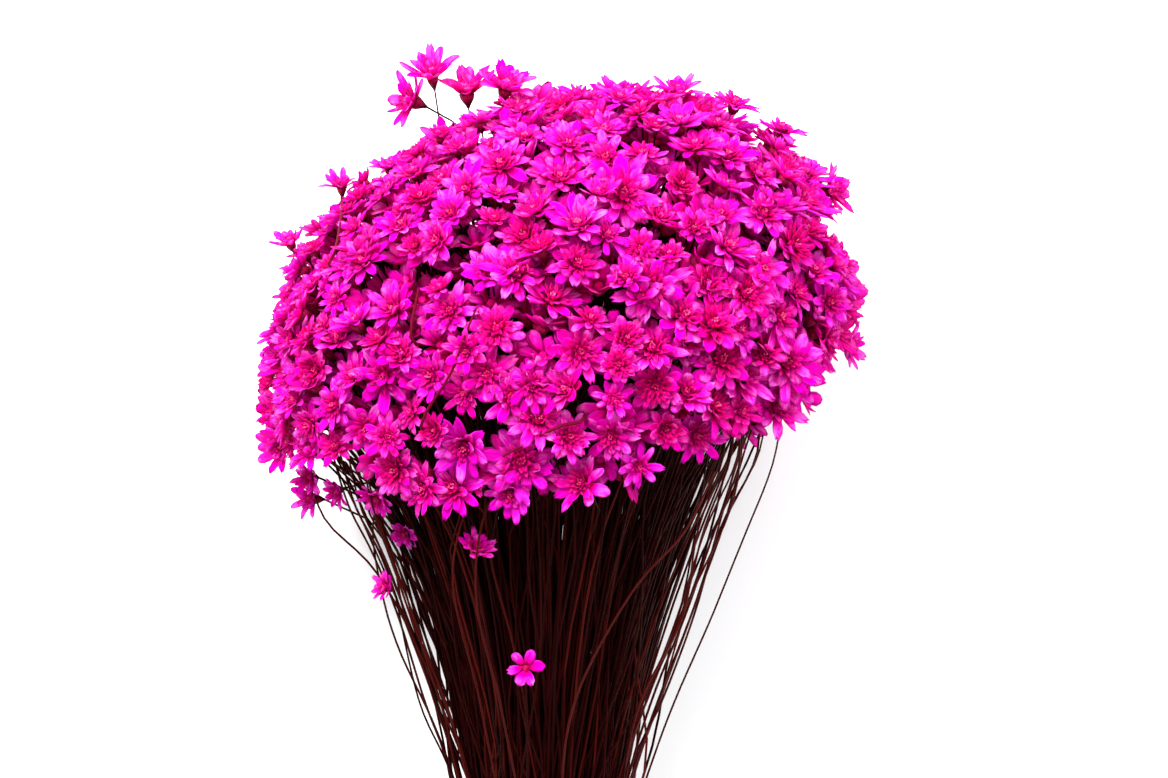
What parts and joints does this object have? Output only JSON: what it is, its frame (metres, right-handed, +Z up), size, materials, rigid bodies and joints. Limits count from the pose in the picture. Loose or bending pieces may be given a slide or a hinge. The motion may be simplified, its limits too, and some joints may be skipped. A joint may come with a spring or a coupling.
{
  "type": "dried glixia bunch",
  "caption": "Tied bunch of dried glixia: a dome of small star-shaped magenta flower heads on thin dark brown stems, lying on its side.",
  "frame": {"origin": "on the surface that the bunch lies on, under the middle of its bounding box", "axes": "+Y along the bunch from its cut ends to its crown, +X to the right as the bunch is seen from above, +Z up from the surface"},
  "size_m": [0.1209, 0.2803, 0.0981],
  "materials": {
    "flower_heads": "dyed papery bracts, soft sheen",
    "stems": "dry dark brown stalks, finely ribbed",
    "tie": "natural twine"
  },
  "bodies": {
    "root": {"flower_heads_01": "flower_heads", "flower_heads_02": "flower_heads", "flower_heads_03": "flower_heads", "flower_heads_04": "flower_heads", "flower_heads_05": "flower_heads", "flower_heads_06": "flower_heads", "flower_heads_07": "flower_heads", "flower_heads_08": "flower_heads", "flower_heads_09": "flower_heads", "flower_heads_10": "flower_heads", "flower_heads_11": "flower_heads", "flower_heads_12": "flower_heads", "flower_heads_13": "flower_heads", "flower_heads_14": "flower_heads", "flower_heads_15": "flower_heads", "flower_heads_16": "flower_heads", "flower_heads_17": "flower_heads", "flower_heads_18": "flower_heads", "flower_heads_19": "flower_heads", "flower_heads_20": "flower_heads", "flower_heads_21": "flower_heads", "flower_heads_22": "flower_heads", "flower_heads_23": "flower_heads", "flower_heads_24": "flower_heads", "flower_heads_25": "flower_heads", "low_flower_head_1": "flower_heads", "low_flower_head_2": "flower_heads", "low_flower_head_3": "flower_heads", "stems_01": "stems", "stems_02": "stems", "stems_03": "stems", "stems_04": "stems", "stems_05": "stems", "stems_06": "stems", "stems_07": "stems", "stems_08": "stems", "stems_09": "stems", "stems_10": "stems", "stems_11": "stems", "stems_12": "stems", "stems_13": "stems", "stems_14": "stems", "stems_15": "stems", "stems_16": "stems", "stems_17": "stems", "stems_18": "stems", "stems_19": "stems", "stems_20": "stems", "stems_21": "stems", "stems_22": "stems", "stems_23": "stems", "stems_24": "stems", "stems_25": "stems", "low_flower_stem_1": "stems", "low_flower_stem_2": "stems", "low_flower_stem_3": "stems", "tie": "tie"}
  },
  "joints": []
}
